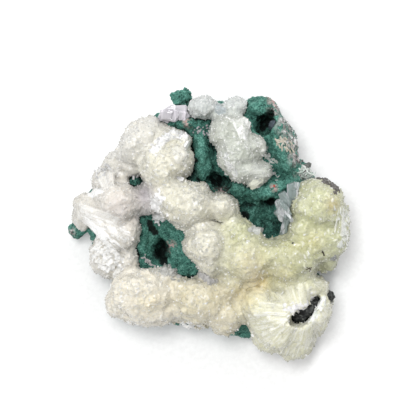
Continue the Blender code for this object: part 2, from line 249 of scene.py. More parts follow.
def stilbiteMaterial(look):
    material, tree, shader, where = newMaterial("stilbite")
    own = addNode(tree, "ShaderNodeAttribute", attribute_name="tint").outputs["Color"]
    silk = maskOf(tree, "silk")
    tint, grain = patchesIn(tree, where, own, look["patch"], look["grain"])
    # white silk, and white painted glints, mixed into the tint
    tree.links.new(mixOf(tree, silk, tint, (*look["silk"], 1)), shader.inputs["Base Color"])
    low, high = look["rough"]
    rough = addNode(tree, "ShaderNodeMapRange", From_Min=0.35, From_Max=0.65, To_Min=low, To_Max=high)
    tree.links.new(grain, rough.inputs["Value"])
    tree.links.new(rough.outputs["Result"], shader.inputs["Roughness"])
    clear, dull = look["depth"]
    depth = addNode(tree, "ShaderNodeMapRange", To_Min=clear, To_Max=dull)
    tree.links.new(maskOf(tree, "dull"), depth.inputs["Value"])
    tree.links.new(depth.outputs["Result"], shader.inputs["Subsurface Weight"])
    shader.inputs["Subsurface Radius"].default_value = look["glowTint"]
    shader.inputs["Subsurface Scale"].default_value = look["glow"] * mm
    shader.inputs["IOR"].default_value = 1.5
    sugar = addNode(tree, "ShaderNodeTexVoronoi", Scale=1000.0 / look["sugar"])
    tree.links.new(where, sugar.inputs["Vector"])
    bumpFrom(tree, shader, sugar.outputs["Distance"], -look["sugarHeight"], look["sugarBump"])
    return material


def editSelect(obj, test):
    bpy.ops.object.mode_set(mode="OBJECT")
    for part in (*obj.data.vertices, *obj.data.edges, *obj.data.polygons):
        part.select = False
    for face in obj.data.polygons:
        face.select = test(face)
    bpy.ops.object.mode_set(mode="EDIT")


bladeTop = 0.82  # how far the tip of the blade is from its middle


def newBlade():  # a flat coffin-shaped crystal, one unit wide, thick and long
    bpy.ops.object.select_all(action="DESELECT")
    bpy.ops.mesh.primitive_cube_add(size=1.0, location=(0, 0, 0))
    blade = bpy.context.object
    blade.name = "bladeTemplate"
    bpy.ops.object.mode_set(mode="EDIT")
    bpy.ops.mesh.select_mode(type="FACE")
    editSelect(blade, lambda face: face.normal.z > 0.9)
    bpy.ops.mesh.extrude_region_move(TRANSFORM_OT_translate={"value": (0, 0, 0.32)})
    bpy.ops.transform.resize(value=(0.34, 0.55, 1.0), center_override=(0, 0, bladeTop))
    bpy.ops.object.mode_set(mode="OBJECT")
    return blade


def newBlock():  # a stout crystal with narrow faces along its edges
    bpy.ops.object.select_all(action="DESELECT")
    bpy.ops.mesh.primitive_cube_add(size=1.0, location=(0, 0, 0))
    block = bpy.context.object
    block.name = "blockTemplate"
    bpy.ops.object.mode_set(mode="EDIT")
    bpy.ops.mesh.select_all(action="SELECT")
    bpy.ops.mesh.bevel(offset=0.09, segments=1)
    bpy.ops.object.mode_set(mode="OBJECT")
    return block


def newGrain():
    bpy.ops.object.select_all(action="DESELECT")
    bpy.ops.mesh.primitive_ico_sphere_add(subdivisions=1, radius=1.0, location=(0, 0, 0))
    grain = bpy.context.object
    grain.name = "grainTemplate"
    return grain


fibreRings = 6


def newFibre():  # a four-sided sliver along Z from 0 to 1, thinner towards its tip
    bpy.ops.object.select_all(action="DESELECT")
    bpy.ops.mesh.primitive_cylinder_add(vertices=4, radius=0.7, depth=1.0, location=(0, 0, 0.5))
    fibre = bpy.context.object
    fibre.name = "fibreTemplate"
    bpy.ops.object.mode_set(mode="EDIT")
    bpy.ops.mesh.select_all(action="SELECT")
    bpy.ops.transform.rotate(value=0.785398, orient_axis="Z", center_override=(0, 0, 0))  # a flat side up
    for ring in range(1, fibreRings - 1):
        bpy.ops.mesh.select_all(action="SELECT")
        bpy.ops.mesh.bisect(plane_co=(0, 0, ring / (fibreRings - 1)), plane_no=(0, 0, 1))
    bpy.ops.object.mode_set(mode="OBJECT")
    for vert in fibre.data.vertices:
        narrow = 1.0 - 0.55 * vert.co.z ** 3
        vert.co.x, vert.co.y = vert.co.x * narrow, vert.co.y * narrow
    return fibre


def writeLayer(obj, name, values, kind="FLOAT"):
    layer = obj.data.attributes.new(name, kind, "POINT")
    values = np.asarray(values, dtype=np.float32).ravel()
    layer.data.foreach_set("value" if kind == "FLOAT" else "color", values)


def writeTint(obj, tints):
    writeLayer(obj, "tint", np.hstack((tints, np.ones((len(tints), 1)))), "FLOAT_COLOR")


def gather(items, label, width, kind=np.float64):  # one row of numbers for each item
    values = np.empty(len(items) * width, dtype=kind)
    items.foreach_get(label, values)
    return values.reshape(-1, width)


def pointsOf(obj):
    return gather(obj.data.vertices, "co", 3)


def faceLayer(obj, name, label, width):  # the value of a layer at the first corner of each face
    corners = [face.vertices[0] for face in obj.data.polygons]
    return gather(obj.data.attributes[name].data, label, width, np.float32)[corners]


def meshFrom(name, corners, faces, silk):
    mesh = bpy.data.meshes.new(name)
    mesh.from_pydata(corners.reshape(-1, 3).tolist(), [], faces)
    obj = bpy.data.objects.new(name, mesh)
    writeLayer(obj, "silk", silk)
    bpy.context.collection.objects.link(obj)
    return obj


def facesOf(template, count):
    plain = [list(face.vertices) for face in template.data.polygons]
    size = len(template.data.vertices)
    return [[corner + step * size for corner in face] for step in range(count) for face in plain]


def placeCopies(name, template, places, axes, silk):
    # places (n, 3), axes (n, 3, 3) whose rows are the copy's scaled X, Y and Z
    shape = pointsOf(template)
    corners = np.einsum("vk,nkj->nvj", shape, axes) + places[:, None, :]
    return meshFrom(name, corners, facesOf(template, len(places)), np.repeat(silk, len(shape)))


def placeFibres(name, template, paths, across, upward, silk):
    # paths (n, rings, 3), across and upward (n, 3) already scaled to the fibre's width and depth
    shape = pointsOf(template)
    rings = np.rint(shape[:, 2] * (fibreRings - 1)).astype(int)
    corners = (paths[:, rings, :] + shape[None, :, 0, None] * across[:, None, :]
               + shape[None, :, 1, None] * upward[:, None, :])
    return meshFrom(name, corners, facesOf(template, len(paths)), np.repeat(silk, len(shape)))


blade = newBlade()
fibre = newFibre()
grain = newGrain()
block = newBlock()
bladeSize = len(blade.data.vertices)
print("templates made")


def samplePoints(obj, count, chance, accept):  # random places on the faces, with their smooth normals
    mesh = obj.data
    mesh.calc_loop_triangles()
    corners = gather(mesh.loop_triangles, "vertices", 3, np.int32)
    normals = gather(mesh.vertices, "normal", 3)
    sides = pointsOf(obj)[corners]
    area = np.linalg.norm(np.cross(sides[:, 1] - sides[:, 0], sides[:, 2] - sides[:, 0]), axis=1)
    picked = chance.choice(len(corners), size=count, p=area / area.sum())
    weights = chance.dirichlet((1, 1, 1), size=count)
    where = np.einsum("nk,nkj->nj", weights, sides[picked])
    facing = np.einsum("nk,nkj->nj", weights, normals[corners[picked]])
    facing /= np.linalg.norm(facing, axis=1)[:, None]
    kept = np.array([accept(Vector(p), Vector(n)) for p, n in zip(where, facing)])
    return where[kept], facing[kept]


def grainField(where, width):
    # a smoothly turning direction, so that neighbouring blades lie alike
    return np.array([noise.noise_vector(Vector(p) / (width * mm))[:] for p in where])


def framesOf(facing, field, chance, lean, turn):
    # rows across, through and along each blade: leaning off the normal, turned after the field
    along = facing + chance.normal(0, lean, facing.shape)
    along /= np.linalg.norm(along, axis=1)[:, None]
    across = np.cross(along, field + chance.normal(0, turn, facing.shape))
    across /= np.linalg.norm(across, axis=1)[:, None] + 1e-9
    through = np.cross(along, across)
    return across, through, along


rockLook = {
    "voxel": 0.6, "knobs": ((3.8, -2.0), (1.9, -0.6)), "waves": ((2.4, 0.8), (0.9, 0.35)),
    "lumps": (1.7, -1.9), "lobes": ((-30.6, 17.2, 21.4, 3.4),),  # stone that shows between the left clusters
    "freeAbove": 1.0, "flatBelow": 0.9, "bareAbove": 18.0,
    # three kinds of crumbs: their width, the width of their patches, and a dark, a middle and a light tint
    "stone": (0.5, 5.5, (0.012, 0.060, 0.048), (0.062, 0.200, 0.158), (0.17, 0.40, 0.33)),
    "rim": (0.9, 3.0, (0.035, 0.026, 0.022), (0.30, 0.29, 0.28), (0.72, 0.68, 0.67)),
    "bare": (0.8, 1.2, (0.008, 0.008, 0.008), (0.035, 0.037, 0.036), (0.16, 0.17, 0.16)),
    # a pink stain, and the near-black colour of painted shade in the cavities
    "pink": (0.46, 0.33, 0.31), "hole": (0.002, 0.008, 0.006),
    # how ragged each mask is: the fleck's value where it starts and where it is full
    "fleck": 430.0, "ragged": {"rim": (0.42, 0.5), "pink": (0.46, 0.54), "bare": (0.1, 0.2)},
    # painted shade: how ragged it is, where it starts and where it is full, over which share of hidden sky it
    # grows, and how strong it is
    "holeFleck": 1.6, "holeEdge": (0.95, 1.6), "shut": (0.5, 0.95), "gloom": 0.8,
    "grains": 9600, "grainSize": (0.12, 0.34), "grainFloor": 3.0,
    # places on the rock: x, y and radius in millimetres
    "rimSpots": ((31.5, 40.0, 4.5), (34.0, 33.0, 4.0), (35.5, 27.0, 3.5), (27.5, 46.5, 3.6),
                 (38.5, 21.0, 3.5), (45.0, 17.0, 4.0), (51.0, 11.0, 3.5), (-36.5, 29.5, 3.0),
                 (-55.6, -3.4, 1.8)),
    "pinkSpots": ((-15.4, -9.0, 2.2), (5.0, 13.4, 2.4), (26.5, 50.0, 2.6), (26.0, 14.6, 1.6),
                  (-8.0, 41.0, 2.2)),
    "bareSpots": ((40.2, -35.2, 9.0),),  # the dark stump in the fan
    # painted shade: near-black spots painted in the deepest cavities
    "holeSpots": ((-23.6, 0.2, 1.2), (-22.6, -1.6, 1.4), (-21.4, -3.2, 1.1), (14.8, 3.8, 1.5),
                  (4.4, 17.6, 1.4), (-19.4, -12.0, 2.2), (-18.2, -14.8, 1.5), (2.2, 17.2, 1.2),
                  (-6.4, 28.0, 0.9), (-5.2, 25.6, 0.8), (23.8, 41.2, 1.7), (21.8, 38.8, 1.2),
                  (25.2, 9.2, 1.4)),
    "lumpSpots": ((-11.0, 50.6, 6.0), (-14.5, 40.0, 4.0), (-9.5, 39.5, 4.0),
                  (-4.0, 38.5, 4.0), (1.0, 38.0, 3.0)),
}


def makeCrumbGroup():  # crumbs, each with a tone of its own between three colours
    group, start, end = shaderGroup(
        "crumbs",
        [("Vector", "NodeSocketVector", None), ("Crumbs Per Metre", "NodeSocketFloat", 1200.0),
         ("Patches Per Metre", "NodeSocketFloat", 200.0), ("Dark", "NodeSocketColor", (0, 0, 0, 1)),
         ("Middle", "NodeSocketColor", (1, 1, 1, 1)), ("Light", "NodeSocketColor", (1, 1, 1, 1))],
        [("Color", "NodeSocketColor"), ("Height", "NodeSocketFloat")],
    )
    links = group.links
    cells = group.nodes.new("ShaderNodeTexVoronoi")
    links.new(start.outputs["Vector"], cells.inputs["Vector"])
    links.new(start.outputs["Crumbs Per Metre"], cells.inputs["Scale"])
    patches = addNode(group, "ShaderNodeTexNoise", Detail=4.0, Roughness=0.65)
    links.new(start.outputs["Vector"], patches.inputs["Vector"])
    links.new(start.outputs["Patches Per Metre"], patches.inputs["Scale"])
    tone = addNode(group, "ShaderNodeSeparateColor")
    links.new(cells.outputs["Color"], tone.inputs["Color"])
    blend = group.nodes.new("ShaderNodeMix")
    blend.inputs["Factor"].default_value = 0.36
    links.new(patches.outputs["Fac"], blend.inputs[2])
    links.new(tone.outputs["Red"], blend.inputs[3])
    value = blend.outputs[0]
    low = mixOf(group, rampOf(group, value, 0.26, 0.5), start.outputs["Dark"], start.outputs["Middle"])
    high = mixOf(group, rampOf(group, value, 0.5, 0.78), low, start.outputs["Light"])
    links.new(high, end.inputs["Color"])
    links.new(cells.outputs["Distance"], end.inputs["Height"])
    return group


crumbGroup = makeCrumbGroup()


def crumbsIn(tree, where, crumb, patch, dark, middle, light):
    node = tree.nodes.new("ShaderNodeGroup")
    node.node_tree = crumbGroup
    tree.links.new(where, node.inputs["Vector"])
    node.inputs["Crumbs Per Metre"].default_value = 1000.0 / crumb
    node.inputs["Patches Per Metre"].default_value = 1000.0 / patch
    for label, tint in (("Dark", dark), ("Middle", middle), ("Light", light)):
        node.inputs[label].default_value = (*tint, 1)
    return node.outputs["Color"], node.outputs["Height"]


def rockMaterial(look):
    material, tree, shader, where = newMaterial("chalcedony")
    colour, height = crumbsIn(tree, where, *look["stone"])
    fleck = addNode(tree, "ShaderNodeTexNoise", Scale=look["fleck"], Detail=4.0, Roughness=0.7)
    tree.links.new(where, fleck.inputs["Vector"])
    rimTint, _ = crumbsIn(tree, where, *look["rim"])
    bareTint, _ = crumbsIn(tree, where, *look["bare"])
    for label, other in (("rim", rimTint), ("pink", (*look["pink"], 1)), ("bare", bareTint)):
        ragged = addNode(tree, "ShaderNodeMath", operation="MULTIPLY")
        tree.links.new(maskOf(tree, label), ragged.inputs[0])
        tree.links.new(rampOf(tree, fleck.outputs["Fac"], *look["ragged"][label]), ragged.inputs[1])
        colour = mixOf(tree, ragged.outputs[0], colour, other)
    # painted shade: the colour goes near black where much of the sky is hidden and at the listed spots
    hole = addNode(tree, "ShaderNodeMath", operation="MULTIPLY_ADD")
    tree.links.new(fleck.outputs["Fac"], hole.inputs[0])
    hole.inputs[1].default_value = look["holeFleck"]
    tree.links.new(maskOf(tree, "hollow"), hole.inputs[2])
    colour = mixOf(tree, rampOf(tree, hole.outputs[0], *look["holeEdge"]), colour, (*look["hole"], 1))
    tree.links.new(colour, shader.inputs["Base Color"])
    rough = addNode(tree, "ShaderNodeMapRange", To_Min=0.95, To_Max=0.55)
    tree.links.new(height, rough.inputs["Value"])
    tree.links.new(rough.outputs["Result"], shader.inputs["Roughness"])
    shader.inputs["Specular IOR Level"].default_value = 0.3
    bumpFrom(tree, shader, height, -0.3, 0.8)
    return material


# Leans in radians, start and reach in millimetres.
sky = {"ways": 8, "leans": (0.95, 0.5), "start": 0.5, "reach": 60.0}


def hollowness(vertices, tree):
    # the share of the sky that is hidden from each point, which sets where shade is painted into the rock's
    # colour
    ways = [Vector((0, 0, 1))]
    for step in range(sky["ways"]):
        turn = 2 * np.pi * step / sky["ways"]
        lean = sky["leans"][step % 2]
        ways.append(Vector((np.cos(turn) * np.sin(lean), np.sin(turn) * np.sin(lean), np.cos(lean))))
    hidden = np.zeros(len(vertices))
    for i, vert in enumerate(vertices):
        start = vert.co + vert.normal * (sky["start"] * mm)
        hits = [tree.ray_cast(start, way, sky["reach"] * mm)[0] for way in ways]
        hidden[i] = sum(hit is not None for hit in hits) / len(ways)
    return hidden


def spotMask(where, spots):
    mask = np.zeros(len(where))
    for x, y, radius in spots:
        away = np.hypot(where[:, 0] - x * mm, where[:, 1] - y * mm)
        mask = np.maximum(mask, np.clip(1.5 - away / (radius * mm), 0, 1))
    return mask


def addMasks(obj, look, hidden):
    points = pointsOf(obj)
    # painted shade, stronger the more of the sky is hidden
    low, high = look["shut"]
    shut = look["gloom"] * np.clip((hidden - low) / (high - low), 0, 1)
    writeLayer(obj, "rim", spotMask(points, look["rimSpots"]))
    writeLayer(obj, "pink", spotMask(points, look["pinkSpots"]))
    high = points[:, 2] > look["bareAbove"] * mm
    writeLayer(obj, "bare", (spotMask(points, look["bareSpots"]) > 0) * high)
    # painted shade from the hidden sky and from the near-black painted spots
    writeLayer(obj, "hollow", np.maximum(shut, spotMask(points, look["holeSpots"]) ** 0.5))


def makeRock(look):
    rock = copyOfNode("chalcedony_matrix", "chalcedony_rock")
    addLobes(rock, look["lobes"])
    melt(rock, look["voxel"])
    relax(rock, 4)
    applyModifiers(rock)
    free = rock.vertex_groups.new(name="free")
    above = [vert.index for vert in rock.data.vertices if vert.co.z > look["freeAbove"] * mm]
    free.add(above, 1.0, "REPLACE")
    for width, height in look["knobs"]:
        roughen(rock, "VORONOI", width, height, "free")
    for width, height in look["waves"]:
        roughen(rock, "CLOUDS", width, height, "free")
    lumpy = rock.vertex_groups.new(name="lumpy")
    shares = spotMask(pointsOf(rock), look["lumpSpots"])
    for i in np.flatnonzero(shares):
        lumpy.add([int(i)], min(2 * shares[i], 1.0), "REPLACE")
    roughen(rock, "VORONOI", *look["lumps"], "lumpy")
    applyModifiers(rock)
    for vert in rock.data.vertices:  # the sawn underside stays flat
        if vert.co.z < look["flatBelow"] * mm:
            vert.co.z = 0.0
    surroundings = treeOf(rock, *(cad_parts[node] for node in clusterNodes))
    addMasks(rock, look, hollowness(rock.data.vertices, surroundings))
    rock.data.materials.append(rockMaterial(look))
    rock.data.shade_smooth()
    finished(rock, "chalcedony", "chalcedony_matrix")
    return rock


clusterNodes = sorted(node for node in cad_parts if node.startswith("stilbite"))
rockTree = treeOf(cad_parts["chalcedony_matrix"])
clusterTrees = {node: treeOf(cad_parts[node]) for node in clusterNodes}
allClusters = treeOf(*(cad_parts[node] for node in clusterNodes))
rock = makeRock(rockLook)
print("rock made:", len(rock.data.polygons), "faces")


def makeRockGrains(look):  # the mossy crust: small round grains wherever the rock is bare
    chance = np.random.default_rng(seeds["crust"])

    def seen(place, facing):
        if facing.z < -0.3 or place.z < look["grainFloor"] * mm:
            return False
        if allClusters.ray_cast(place + Vector((0, 0, 0.2 * mm)), Vector((0, 0, 1)))[0] is not None:
            return facing.z < 0.5 and allClusters.find_nearest(place)[3] > 2.0 * mm
        return True

    wanted = look["grains"]
    where, facing = samplePoints(rock, wanted * (3), chance, seen)
    where, facing = where[:wanted], facing[:wanted]
    across, through, along = framesOf(facing, grainField(where, 2.0), chance, 0.3, 0.5)
    low, high = look["grainSize"]
    size = (low + (high - low) * chance.random(len(where)) ** 2) * mm
    axes = np.stack((across, through, along), axis=1) * size[:, None, None]
    axes *= chance.uniform(0.7, 1.3, (len(where), 3, 1))
    crust = placeCopies("chalcedony_crust", grain, where, axes, np.zeros(len(where)))
    lookup = KDTree(len(rock.data.vertices))
    for i, vert in enumerate(rock.data.vertices):
        lookup.insert(vert.co, i)
    lookup.balance()
    # the crust grains take the painted shade of the rock under them
    hollow = rock.data.attributes["hollow"].data
    low, high = look["shut"]
    dark = np.array([hollow[lookup.find(Vector(place))[1]].value for place in where])
    hidden = dark / look["gloom"] * (high - low) + low
    addMasks(crust, look, np.repeat(hidden, len(grain.data.vertices)))
    crust.data.materials.append(rock.data.materials[0])
    crust.data.shade_flat()
    finished(crust, "chalcedony")
    return crust


crust = makeRockGrains(rockLook)
rockSkin = treeOf(rock)
print("crust made:", len(crust.data.polygons), "faces")


cream = {
    "tint": (0.65, 0.63, 0.53), "fill": 0.6, "proud": -0.1, "reach": 2.0, "voxel": 0.52, "skin": 0.3,
    "open": (), "lobes": (),
    "waves": (("CLOUDS", 7.0, 0.9), ("VORONOI", 2.8, -0.6), ("CLOUDS", 1.2, 0.25)),
    "flanks": (("VORONOI", 2.4, -0.6), ("CLOUDS", 1.3, 0.4)),
    "blades": 3000, "bladeWidth": (0.5, 1.2), "bladeDepth": (0.3, 0.6), "bladeRise": (0.05, 0.6),
    # a share of the blades is painted white as painted glints
    "bladeLength": 1.1, "swell": 2.5, "fringe": 0.2, "lean": 0.35, "glints": 0.02,
    # petals: broad blades painted paler, partly real silk and partly a painted highlight
    "petals": 0.02, "petalScale": (2.2, 1.3), "petalSilk": 0.4, "silkSpread": 0.12,
    # small crisp crystals over the skin, a share of them painted white as painted glints
    "tips": {"share": 0.2, "bladeWidth": (0.25, 0.65), "bladeDepth": (0.15, 0.35), "bladeRise": (0.1, 0.55),
             "fringe": 0.9, "lean": 0.4, "petals": 0.01, "glints": 0.25},
    "tipDull": 0.75,
}
clusterLooks = {
    "stilbite_centre": {**cream, "blades": 6800},
    "stilbite_middle": {**cream, "blades": 2200, "fill": 1.2},
    "stilbite_left": {**cream, "blades": 4500, "tint": (0.62, 0.595, 0.54)},
    "stilbite_wedge": {**cream, "blades": 500, "tint": (0.50, 0.47, 0.49)},
    "stilbite_lower_left": {**cream, "blades": 3800, "tint": (0.73, 0.69, 0.59)},
    "stilbite_lower_middle": {**cream, "blades": 3300, "tint": (0.63, 0.585, 0.445), "fill": 1.2,
                              "lobes": ((4.6, -21.0, 26.5, 2.6),)},
    "stilbite_upper_left": {**cream, "blades": 2800, "tint": (0.64, 0.625, 0.575),
                            "lobes": ((-29.9, 22.4, 24.2, 3.0), (-32.0, 20.4, 24.0, 2.0))},
    "stilbite_top": {**cream, "blades": 1500, "tint": (0.53, 0.555, 0.54)},
    "stilbite_ridge": {**cream, "blades": 3600, "tint": (0.475, 0.495, 0.44)},
    "stilbite_right": {**cream, "blades": 7400, "tint": (0.52, 0.53, 0.345), "fill": 1.4, "skin": 0.33,
                       "lobes": ((23.6, -21.8, 25.5, 3.6), (26.6, -21.0, 26.0, 2.6))},
    "stilbite_fan": {**cream, "blades": 3600, "tint": (0.64, 0.63, 0.48), "fill": 0.5,
                     "open": ((36.0, -37.6, 1.8), (38.6, -35.8, 1.8), (41.2, -33.0, 1.4),
                              (43.6, -30.0, 1.2))},
}
crystalMaterial = stilbiteMaterial(stilbiteLook)
shading = {
    "blendWidth": 7.0,  # how far the tint of a neighbour reaches into a cluster, in millimetres
    "steepBelow": 0.8, "grey": 0.25, "dark": 0.3,  # painted shade: steep sides are painted greyer and darker than crowns
    "silkDull": 0.6, "meetDull": 1.4, "meetReach": 3.0,  # white silk, and the places where clusters meet
}


# Stains in the crystals: x, y and radius in millimetres, colour and strength.
stains = (
    (16.2, -16.2, 9.0, (0.66, 0.615, 0.44), 0.85),
    (19.8, -22.4, 4.5, (0.67, 0.55, 0.30), 0.85),
    (30.0, -20.0, 5.0, (0.62, 0.57, 0.36), 0.6),
    (13.0, -27.4, 4.0, (0.64, 0.56, 0.38), 0.7),
    (14.6, -31.0, 5.0, (0.68, 0.61, 0.38), 0.5),
    (49.2, 7.8, 3.2, (0.56, 0.47, 0.26), 0.6),
    (41.8, -6.2, 4.5, (0.58, 0.54, 0.29), 0.5),
    (-22.2, -31.4, 4.5, (0.72, 0.64, 0.43), 0.6),
    (-34.6, 7.0, 7.0, (0.63, 0.57, 0.54), 0.6),
    (-24.4, 12.0, 4.0, (0.50, 0.47, 0.50), 0.8),
    (33.0, -10.0, 7.0, (0.46, 0.45, 0.27), 0.7),
)


def nearOthers(points, node, reach):  # the points that another cluster is near to, and how near, from 0 to 1
    for other, tree in clusterTrees.items():
        if other == node:
            continue
        low, high = (np.array(corner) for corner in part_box(other))
        for i in np.flatnonzero(np.all((points > low - reach) & (points < high + reach), axis=1)):
            away = tree.find_nearest(Vector(points[i]), reach)[3]
            if away is not None:
                yield other, i, 1 - away / reach


def blendTints(points, node):  # clusters that are grown together pass softly from one tint to the other
    tint = np.tile(np.array(clusterLooks[node]["tint"]), (len(points), 1))
    weight = np.ones(len(points))
    for other, i, near in nearOthers(points, node, shading["blendWidth"] * mm):
        tint[i] += near ** 2 * np.array(clusterLooks[other]["tint"])
        weight[i] += near ** 2
    tint /= weight[:, None]
    for x, y, radius, colour, strength in stains:
        away = np.hypot(points[:, 0] - x * mm, points[:, 1] - y * mm) / (radius * mm)
        tint += (np.array(colour) - tint) * (strength * np.exp(-away ** 2))[:, None]
    return tint


# painted shade: steep sides are painted greyer and darker than the crowns
def paintSideShade(tints, rise):
    steep = np.clip((shading["steepBelow"] - rise) / shading["steepBelow"], 0, 1)[:, None]
    grey = tints.mean(axis=1, keepdims=True)
    return (tints + (grey - tints) * shading["grey"] * steep) * (1 - shading["dark"] * steep)


def addTints(obj, node, copies=1):  # one tint for each copy of a small crystal, or for each point
    points = pointsOf(obj)
    size = len(points) // copies if copies > 1 else 1
    tints = blendTints(points.reshape(-1, size, 3).mean(axis=1), node)
    writeTint(obj, np.repeat(tints, size, axis=0))


def grownTogether(node):  # the clusters that it touches
    points = [vert.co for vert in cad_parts[node].data.vertices]
    return [other for other, tree in clusterTrees.items()
            if other != node and any(tree.find_nearest(point, 0.8 * mm)[0] is not None for point in points)]


def makeBody(node, look):
    body = copyOfNode(node, node + "_crystals")
    addLobes(body, look["lobes"])
    neighbours = grownTogether(node)
    for other in neighbours:
        join(body, [copyOfNode(other, "neighbour")])
    pushOut(body, look["fill"])  # narrow clefts between the lobes close up
    melt(body, look["voxel"])
    applyModifiers(body)
    pushOut(body, look["proud"] - look["fill"])
    relax(body, 6)
    applyModifiers(body)
    if neighbours:
        home = copyOfNode(node, "home")
        addLobes(home, look["lobes"])
        pushOut(home, look["reach"])
        melt(home, 0.8)
        applyModifiers(home)
        keep = body.modifiers.new("keep", "BOOLEAN")
        keep.operation = "INTERSECT"
        keep.solver = "MANIFOLD"
        keep.object = home
        melt(body, look["voxel"])
        applyModifiers(body)
        bpy.data.objects.remove(home, do_unlink=True)
    relax(body, 6)
    for kind, width, height in look["waves"]:
        roughen(body, kind, width, height)
    applyModifiers(body)
    flank = body.vertex_groups.new(name="flank")  # the outline is more broken up than the crowns
    for vert in body.data.vertices:
        flank.add([vert.index], min(max(1.15 - vert.normal.z, 0.1), 1.0), "REPLACE")
    for kind, width, height in look["flanks"]:
        roughen(body, kind, width, height, "flank")
    applyModifiers(body)
    body.vertex_groups.clear()
    for vert in body.data.vertices:
        vert.co.z = max(vert.co.z, 0.3 * mm)
    writeLayer(body, "silk", np.zeros(len(body.data.vertices)))
    return body


def makeBlades(body, node, look, seed, silkAt=None):
    chance = np.random.default_rng(seed)
    wanted = int(look["blades"] * look.get("share", 1.0))
    others = [clusterTrees[other] for other in clusterNodes if other != node]

    def bare(place, facing):  # not where the crystals are grown to the rock or to another cluster
        if facing.z < -0.45:
            return False
        if any(np.hypot(place.x - x * mm, place.y - y * mm) < radius * mm for x, y, radius in look["open"]):
            return False
        if silkAt is not None and silkAt(place) > 0.3:
            return False
        for tree, depth in [(rockTree, 0.3 * mm)] + [(tree, -0.2 * mm) for tree in others]:
            nearest, outward, _, away = tree.find_nearest(place, 2.0 * mm)
            if nearest is not None and (place - nearest).dot(outward) < depth:
                return False
        return True

    where, facing = samplePoints(body, int(wanted * 1.5), chance, bare)
    where, facing = where[:wanted], facing[:wanted]
    count = len(where)
    across, through, along = framesOf(facing, grainField(where, 5.0), chance, look["lean"], 0.4)
    width = chance.uniform(*look["bladeWidth"], count) * mm
    depth = chance.uniform(*look["bladeDepth"], count) * mm
    petal = chance.random(count) < look["petals"]  # now and then a broad blade painted paler, partly real white silk and partly a painted highlight
    broad, thick = look["petalScale"]
    width, depth = width * np.where(petal, broad, 1.0), depth * np.where(petal, thick, 1.0)
    swell = np.array([0.5 + 0.9 * noise.noise(Vector(p) / (look["swell"] * mm)) for p in where])
    low, high = look["bladeRise"]
    edge = 1.0 + look["fringe"] * np.clip(1.0 - facing[:, 2], 0, 1)  # longer at the outline
    rise = (low + (high - low) * np.clip(swell, 0, 1) * chance.random(count)) * edge * mm
    length = look["bladeLength"] * mm
    axes = np.stack((across * width[:, None], through * depth[:, None], along * length), axis=1)
    where = where + along * (rise - bladeTop * length)[:, None]
    silk = chance.normal(0.0, look["silkSpread"], count) + look["petalSilk"] * petal
    # painted highlight: a share of the blades is painted white as glints
    silk = np.clip(silk + (chance.random(count) < look["glints"]), 0, 1)
    return placeCopies(node + "_blades", blade, where, axes, silk)


# Bundles of silky fibres where a sheaf is broken open: roots and tips are two lines of points in
# millimetres, between which the fibres run; they lie on the cluster and rise by the bow.
bundles = {
    "stilbite_left": (
        {"roots": ((-54.6, 9.2), (-53.6, 5.0), (-51.0, 1.6)),
         "tips": ((-35.5, 3.0), (-30.2, -4.0), (-31.0, -13.0)),
         "count": 420, "width": 0.34, "bow": 0.6, "silk": (0.2, 1.0), "short": 0.3},
        {"roots": ((-49.6, 2.8), (-48.8, 0.0)), "tips": ((-31.6, -10.6), (-34.6, -14.4)),
         "count": 150, "width": 0.46, "bow": 1.0, "silk": (1.0, 1.0), "short": 0.5},
        {"roots": ((-41.0, 13.5), (-37.5, 14.5)), "tips": ((-46.0, 20.5), (-38.0, 22.5)),
         "count": 90, "width": 0.4, "bow": 0.3, "silk": (0.1, 0.6), "short": 0.3},
    ),
    "stilbite_centre": (
        {"roots": ((-20.9, 27.4), (-18.0, 30.2), (-14.2, 33.8), (-9.8, 34.0), (-8.2, 32.0)),
         "tips": ((-23.6, 28.6), (-21.0, 32.8), (-17.7, 36.2), (-13.0, 37.8), (-9.0, 37.0), (-6.8, 34.0)),
         "count": 240, "width": 0.4, "bow": 0.3, "silk": (0.1, 1.0), "short": 0.4},
        {"roots": ((-12.4, 24.0), (-10.6, 24.4)), "tips": ((-14.6, 30.6), (-11.0, 31.6), (-7.6, 29.0)),
         "count": 120, "width": 0.36, "bow": 0.3, "silk": (0.1, 0.5), "short": 0.3},
    ),
    "stilbite_right": (
        {"roots": ((51.2, 6.4), (54.0, 8.4), (55.8, 7.6)), "tips": ((50.0, -4.6), (53.4, -5.4), (56.4, -3.4)),
         "count": 110, "width": 0.36, "bow": 0.1, "silk": (-0.3, 0.8), "short": 0.8},
    ),
    "stilbite_fan": (
        {"roots": ((31.8, -31.4), (31.2, -36.0), (32.6, -38.8), (36.5, -39.9), (40.4, -37.2), (43.0, -33.4),
                   (45.4, -30.2)),
         "tips": ((20.0, -30.0), (14.5, -38.0), (21.5, -49.5), (31.0, -54.6), (39.5, -53.0), (46.2, -45.0),
                  (48.6, -33.5)),
         "count": 820, "width": 0.42, "bow": 0.5, "silk": (-0.3, 0.7), "short": 0.35},
        {"roots": ((31.6, -33.2), (34.6, -35.6), (38.6, -33.4), (42.4, -29.6)),
         "tips": ((25.0, -27.0), (30.0, -24.0), (36.0, -22.4), (42.0, -24.0)),
         "count": 300, "width": 0.4, "bow": 0.3, "silk": (-0.2, 0.4), "short": 0.35},
    ),
    "stilbite_ridge": (
        {"roots": ((13.0, 33.6), (14.2, 33.6)), "tips": ((9.0, 42.0), (13.6, 44.0), (17.4, 41.8)),
         "count": 130, "width": 0.36, "bow": 0.3, "silk": (0.1, 0.8), "short": 0.3},
        {"roots": ((13.8, 22.6), (15.0, 15.4)), "tips": ((21.8, 25.0), (25.2, 19.6), (20.0, 15.4)),
         "count": 160, "width": 0.36, "bow": 0.4, "silk": (0.0, 0.4), "short": 0.3},
    ),
}


